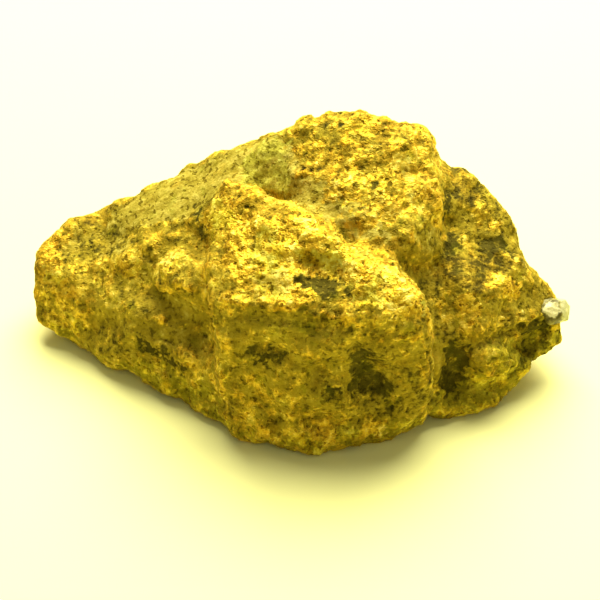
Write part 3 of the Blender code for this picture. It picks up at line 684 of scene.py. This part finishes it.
class Nodes:
    """Short ways to add and join a material's nodes."""

    def __init__(self, name):
        self.material = bpy.data.materials.new(name)
        self.material.use_nodes = True
        self.tree = self.material.node_tree
        self.shader = self.tree.nodes["Principled BSDF"]

    def add(self, kind, **settings):
        node = self.tree.nodes.new(kind)
        for name, value in settings.items():
            setattr(node, name, value)
        return node

    def join(self, source, socket):
        self.tree.links.new(source, socket)

    def feed(self, socket, source):
        """Give the socket a link, a number or a colour."""
        if isinstance(source, bpy.types.NodeSocket):
            self.join(source, socket)
        else:
            socket.default_value = source

    def math(self, operation, first, second=0.0, third=0.0, clamp=False):
        node = self.add("ShaderNodeMath", operation=operation, use_clamp=clamp)
        for socket, source in zip(node.inputs, (first, second, third)):
            self.feed(socket, source)
        return node.outputs[0]

    def sum(self, *shares):
        """Add sources up, each with its own weight."""
        total = 0.0
        for source, weight in shares:
            total = self.math("MULTIPLY_ADD", source, weight, total)
        return total

    def attribute(self, name):
        return self.add("ShaderNodeAttribute", attribute_name=name).outputs["Fac"]

    def in_mm(self, stretch=(1, 1, 1)):
        """Places on the piece in millimetres, with what is drawn there this much longer each way."""
        mapping = self.add("ShaderNodeMapping")
        mapping.inputs["Scale"].default_value = [1 / MM / length for length in stretch]
        self.join(self.add("ShaderNodeTexCoord").outputs["Object"], mapping.inputs["Vector"])
        return mapping.outputs["Vector"]

    def noise(self, place, spacing, detail, roughness):
        node = self.add("ShaderNodeTexNoise")
        self.join(place, node.inputs["Vector"])
        node.inputs["Scale"].default_value = 1 / spacing
        node.inputs["Detail"].default_value = detail
        node.inputs["Roughness"].default_value = roughness
        return node.outputs["Fac"]

    def steps(self, source, start, end):
        """0 at the start and before it, 1 at the end and past it, with a soft rise between them."""
        node = self.add("ShaderNodeMapRange", interpolation_type="SMOOTHSTEP")
        self.feed(node.inputs["Value"], source)
        node.inputs["From Min"].default_value = start
        node.inputs["From Max"].default_value = end
        return node.outputs["Result"]

    def ramp(self, source, colours):
        """Run through these colours, evenly spaced, as the source goes from 0 to 1."""
        node = self.add("ShaderNodeValToRGB")
        stops = node.color_ramp.elements
        while len(stops) < len(colours):
            stops.new(0.5)
        for number, colour in enumerate(colours):
            stops[number].position = number / (len(colours) - 1)
            stops[number].color = (*colour, 1.0)
        self.feed(node.inputs["Fac"], source)
        return node.outputs["Color"]

    def blend(self, share, first, second, blend_type="MIX"):
        """The first colour, covered by this share of the second."""
        node = self.add("ShaderNodeMix", data_type="RGBA", blend_type=blend_type)
        self.feed(node.inputs["Factor"], share)
        for name, colour in (("A", first), ("B", second)):
            socket = next(s for s in node.inputs if s.name == name and s.type == "RGBA")
            self.feed(socket, colour if isinstance(colour, bpy.types.NodeSocket) else (*colour, 1.0))
        return next(s for s in node.outputs if s.type == "RGBA")

    def bump(self, height, depth):
        """Roughen the shader's surface by this height, which is this deep from 0 to 1."""
        node = self.add("ShaderNodeBump")
        node.inputs["Strength"].default_value = 1.0
        node.inputs["Distance"].default_value = depth * MM
        self.join(height, node.inputs["Height"])
        self.join(node.outputs["Normal"], self.shader.inputs["Normal"])


# Colours, as linear light: each runs from its darkest specks to its brightest flakes.
BARE_METAL = [
    (0.20, 0.12, 0.004),
    (0.37, 0.215, 0.008),
    (0.58, 0.355, 0.016),
    (0.78, 0.545, 0.036),
    (0.96, 0.77, 0.12),
]
DULL_METAL = [
    (0.10, 0.073, 0.002),
    (0.19, 0.136, 0.005),
    (0.30, 0.217, 0.010),
    (0.41, 0.306, 0.019),
    (0.56, 0.440, 0.045),
]
TAN_CLAY = [(0.14, 0.10, 0.004), (0.29, 0.22, 0.014), (0.43, 0.335, 0.036), (0.56, 0.455, 0.065)]
# The dark earth colour paints dirt, and painted shade where the zones and cuts put it.
DARK_EARTH_AND_SHADE = [(0.03, 0.024, 0.001), (0.055, 0.043, 0.002), (0.095, 0.074, 0.005), (0.18, 0.14, 0.012)]
PALE_CRUMB = [(0.28, 0.20, 0.012), (0.68, 0.54, 0.06), (1.0, 0.88, 0.19)]

# What the metal and dirt are multiplied by where they are rusty, and where they are olive.
RUSTY = (1.0, 0.80, 0.45)
GREENISH = (0.84, 0.97, 0.66)

# The patterns of the nugget's material: the spacing of each, its detail and its roughness. The
# flecks and streaks are this many times longer along X, Y and Z.
GRAIN = (1.6, 4.0, 0.80)
SPECKS = (0.26, 1.0, 0.6)
DOTS = (0.42, 1.0, 0.5)
FLECKS = (0.30, 2.0, 0.6)
STREAKS = (1.2, 4.0, 0.8)
EDGES = (0.9, 4.0, 0.72)
HUES = (1.4, 3.0, 0.7)
FLECK_STRETCH = (1.5, 1.0, 0.9)
STREAK_STRETCH = (2.6, 0.9, 1.2)
NUGGET_BUMP = 0.13
NUGGET_SPECULAR = 0.05


def cover_shares(nodes, skin, ragged, raised):
    """How much bare metal, clay, dirt with painted shade in it, and pale crumb each speck has, all with
    ragged edges.
    """
    bare = nodes.steps(nodes.sum((skin["gold"], 1.0), (ragged, 1.0), (raised, 0.5)), 1.98, 2.48)
    clayey = nodes.steps(nodes.sum((skin["clay"], 1.0), (ragged, 0.7), (raised, -0.5)), 1.48, 1.88)
    dirt_and_shade = nodes.steps(nodes.sum((skin["soil"], 1.0), (ragged, -0.8), (raised, -1.2)), -1.12, -0.62)
    crumbly = nodes.math("MULTIPLY", skin["pale"], nodes.steps(ragged, 1.60, 1.85))
    return bare, clayey, dirt_and_shade, crumbly


def with_hues(nodes, colour, skin, hues):
    """The colour, turned rusty or olive in patches."""
    warmth = nodes.sum((skin["tint"], 1.0), (hues, 2.0))
    most_rust = nodes.math("MULTIPLY_ADD", skin["gold"], 0.5, 0.4)
    rust = nodes.math("MULTIPLY", nodes.steps(warmth, 1.56, 1.95), most_rust)
    green = nodes.math("MULTIPLY", nodes.steps(warmth, 1.42, 1.05), 0.7)
    colour = nodes.blend(rust, colour, RUSTY, "MULTIPLY")
    return nodes.blend(green, colour, GREENISH, "MULTIPLY")


def add_sheen(nodes, bare, covers, specks):
    """Make the metal shine, most where it is bare, and hardly at all under its covers."""
    shine = nodes.math("MULTIPLY_ADD", bare, 0.40, 0.30)
    for cover in covers:
        shine = nodes.math("MULTIPLY", shine, nodes.math("MULTIPLY_ADD", cover, -0.9, 1.0), clamp=True)
    rough = nodes.math("MULTIPLY_ADD", shine, -0.40, 0.80)
    rough = nodes.math("MULTIPLY_ADD", specks, 0.15, rough, clamp=True)
    nodes.join(shine, nodes.shader.inputs["Metallic"])
    nodes.join(rough, nodes.shader.inputs["Roughness"])
    nodes.shader.inputs["Specular IOR Level"].default_value = NUGGET_SPECULAR


def nugget_finish():
    nodes = Nodes("native_gold")
    place = nodes.in_mm()
    grain = nodes.noise(place, *GRAIN)
    specks = nodes.noise(place, *SPECKS)
    dots = nodes.steps(nodes.noise(place, *DOTS), 0.60, 0.67)
    flecks = nodes.steps(nodes.noise(nodes.in_mm(FLECK_STRETCH), *FLECKS), 0.58, 0.66)
    streaks = nodes.noise(nodes.in_mm(STREAK_STRETCH), *STREAKS)
    ragged = nodes.sum((nodes.noise(place, *EDGES), 2.2), (specks, 0.5), (grain, 0.8))
    skin = {name: nodes.attribute(name) for name in ("relief", *Looks._fields)}
    raised = nodes.math("MULTIPLY", nodes.math("SUBTRACT", skin["relief"], 0.5), skin["crust"])

    # How bright each speck of the metal and of the clay is, from 0 to 1, about 0.5 in the middle. The
    # metal's tone is painted lighter on the crust's crests and darker in its pits: painted highlight
    # and painted shade.
    tone = nodes.sum((grain, 2.3), (specks, 0.5), (raised, 0.9), (flecks, 0.16), (dots, -0.42))
    tone = nodes.math("ADD", tone, -1.38)
    contrast = nodes.math("MULTIPLY_ADD", skin["gold"], 0.38, 0.62)
    tone = nodes.math("MULTIPLY_ADD", tone, contrast, 0.5)
    clay_tone = nodes.sum((streaks, 2.2), (specks, 0.8), (flecks, 0.18), (dots, -0.5))
    clay_tone = nodes.math("ADD", clay_tone, -0.96)

    # Dull metal, bare metal over it, and the covers over both.
    bare, clayey, dirt_and_shade, crumbly = cover_shares(nodes, skin, ragged, raised)
    colour = nodes.blend(bare, nodes.ramp(tone, DULL_METAL), nodes.ramp(tone, BARE_METAL))
    colour = nodes.blend(clayey, colour, nodes.ramp(clay_tone, TAN_CLAY))
    colour = nodes.blend(dirt_and_shade, colour, nodes.ramp(tone, DARK_EARTH_AND_SHADE))
    colour = nodes.blend(crumbly, colour, nodes.ramp(tone, PALE_CRUMB))
    colour = with_hues(nodes, colour, skin, nodes.noise(place, *HUES))
    nodes.join(colour, nodes.shader.inputs["Base Color"])

    add_sheen(nodes, bare, (dirt_and_shade, clayey, crumbly), specks)
    bumps = nodes.sum((grain, 1.6), (specks, 0.6), (flecks, 0.35), (dots, -0.7))
    nodes.bump(nodes.math("MULTIPLY", bumps, nodes.math("ADD", skin["crust"], 0.3)), NUGGET_BUMP)
    return nodes.material


# The quartz grain is glassy at its end and white in one place, and elsewhere it is cloudy or
# stained by the soil round it. Each place has its colour, its middle and how far it reaches from
# there, less what the fine clouds take off its edge.
GLASSY_QUARTZ = (0.62, 0.58, 0.22)
WHITE_QUARTZ = (0.95, 0.86, 0.34)
CLOUDY_QUARTZ = (0.40, 0.34, 0.06)
STAINED_QUARTZ = (0.12, 0.10, 0.010)
QUARTZ_PLACES = [
    (GLASSY_QUARTZ, (20.1, -2.2, 5.9), 1.75),
    (WHITE_QUARTZ, (18.55, -2.8, 6.35), 1.12),
]
EDGE_BLUR = 0.1

# Its patterns: the spacing of each, its detail and its roughness.
FINE_CLOUDS = (0.35, 4.0, 0.6)
COARSE_CLOUDS = (0.9, 3.0, 0.6)
QUARTZ_BUMP = 0.12
QUARTZ_IOR = 1.54
QUARTZ_CLEARNESS = 0.2
QUARTZ_SPECULAR = 0.15


def quartz_finish():
    nodes = Nodes("quartz")
    place = nodes.in_mm()
    fine = nodes.noise(place, *FINE_CLOUDS)
    coarse = nodes.noise(place, *COARSE_CLOUDS)
    colour = nodes.blend(nodes.steps(coarse, 0.42, 0.60), STAINED_QUARTZ, CLOUDY_QUARTZ)
    for tint, middle, reach in QUARTZ_PLACES:
        away = nodes.add("ShaderNodeVectorMath", operation="DISTANCE")
        nodes.join(place, away.inputs[0])
        away.inputs[1].default_value = middle
        ragged = nodes.sum((away.outputs["Value"], 1.0), (fine, 1.0))
        colour = nodes.blend(nodes.steps(ragged, reach + EDGE_BLUR, reach - EDGE_BLUR), colour, tint)
    nodes.join(colour, nodes.shader.inputs["Base Color"])
    nodes.join(nodes.math("MULTIPLY_ADD", fine, 0.5, 0.12), nodes.shader.inputs["Roughness"])
    nodes.shader.inputs["IOR"].default_value = QUARTZ_IOR
    nodes.shader.inputs["Transmission Weight"].default_value = QUARTZ_CLEARNESS
    nodes.shader.inputs["Specular IOR Level"].default_value = QUARTZ_SPECULAR
    nodes.bump(nodes.sum((fine, 1.0), (coarse, 1.0)), QUARTZ_BUMP)
    return nodes.material


def finish_piece(piece, node, material):
    piece.data.shade_smooth()
    piece.data.materials.append(material)
    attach(piece, "root")
    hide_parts(node)


def make_nugget():
    piece = node_copy("nugget_surface", "nugget")
    remesh(piece, SKIN_CELL)
    shape_skin(piece.data)
    finish_piece(piece, "nugget", nugget_finish())


def make_quartz():
    piece = node_copy("quartz_grain", "quartz_tip")
    remesh(piece, GRAIN_CELL)
    chip_grain(piece.data)
    finish_piece(piece, "quartz_tip", quartz_finish())


# From here on lengths are in metres. First comes the sheet that the nugget lies on.
SHEET_REACH = 1.5
SHEET_COLOUR = (0.92, 0.90, 0.31)
SHEET_ROUGHNESS = 0.9

# Each lamp has its place, width, depth and power in watts, and shines at the nugget's middle.
KEY_LAMP = ((0.025, 0.175, 0.25), 0.34, 0.36, 3.56)
FILL_LAMP = ((0.10, -0.30, 0.22), 0.30, 0.30, 0.1)
LAMP_COLOUR = (1.0, 0.98, 0.93)
LIT_PLACE = Vector((0, 0, 0.008))
ROOM_COLOUR = (1.0, 0.98, 0.90)
ROOM_STRENGTH = 0.28

# The camera looks along +Y and down at the nugget, as a person at a desk would.
VIEW_DOWN = math.radians(40)
VIEW_DISTANCE = 0.22
FRAME_WIDTH = 0.0444  # what the picture takes in, across, at the nugget's middle
LOOK_AT = Vector((0.0001, -0.0009, 0.0056))
SENSOR_WIDTH = 36  # millimetres, as Blender has it
NEAREST_SEEN = 0.01


def make_sheet():
    mesh = bpy.data.meshes.new("floor")
    corners = [(x * SHEET_REACH, y * SHEET_REACH, 0) for x, y in ((-1, -1), (1, -1), (1, 1), (-1, 1))]
    mesh.from_pydata(corners, [], [(0, 1, 2, 3)])
    nodes = Nodes("pale_sheet")
    nodes.shader.inputs["Base Color"].default_value = (*SHEET_COLOUR, 1.0)
    nodes.shader.inputs["Roughness"].default_value = SHEET_ROUGHNESS
    mesh.materials.append(nodes.material)
    sheet = bpy.data.objects.new("floor", mesh)
    bpy.context.scene.collection.objects.link(sheet)


def aim(thing, target):
    thing.rotation_mode = "QUATERNION"
    thing.rotation_quaternion = (target - thing.location).to_track_quat("-Z", "Y")


def add_lamp(name, place, width, depth, power):
    lamp = bpy.data.lights.new(name, "AREA")
    lamp.shape = "ELLIPSE"
    lamp.size = width
    lamp.size_y = depth
    lamp.energy = power
    lamp.color = LAMP_COLOUR
    light = bpy.data.objects.new(name, lamp)
    light.location = place
    aim(light, LIT_PLACE)
    bpy.context.scene.collection.objects.link(light)


def make_light():
    add_lamp("key", *KEY_LAMP)
    add_lamp("fill", *FILL_LAMP)
    world = bpy.data.worlds.new("room")
    world.use_nodes = True
    sky = world.node_tree.nodes["Background"]
    sky.inputs["Color"].default_value = (*ROOM_COLOUR, 1.0)
    sky.inputs["Strength"].default_value = ROOM_STRENGTH
    bpy.context.scene.world = world
    bpy.context.scene.view_settings.view_transform = "Standard"


def make_camera():
    data = bpy.data.cameras.new("camera")
    data.sensor_width = SENSOR_WIDTH
    data.lens = data.sensor_width * VIEW_DISTANCE / FRAME_WIDTH
    data.clip_start = NEAREST_SEEN
    camera = bpy.data.objects.new("camera", data)
    camera.location = LOOK_AT + VIEW_DISTANCE * Vector((0, -math.cos(VIEW_DOWN), math.sin(VIEW_DOWN)))
    aim(camera, LOOK_AT)
    bpy.context.scene.collection.objects.link(camera)
    bpy.context.scene.camera = camera


make_nugget()
make_quartz()
make_sheet()
make_light()
make_camera()
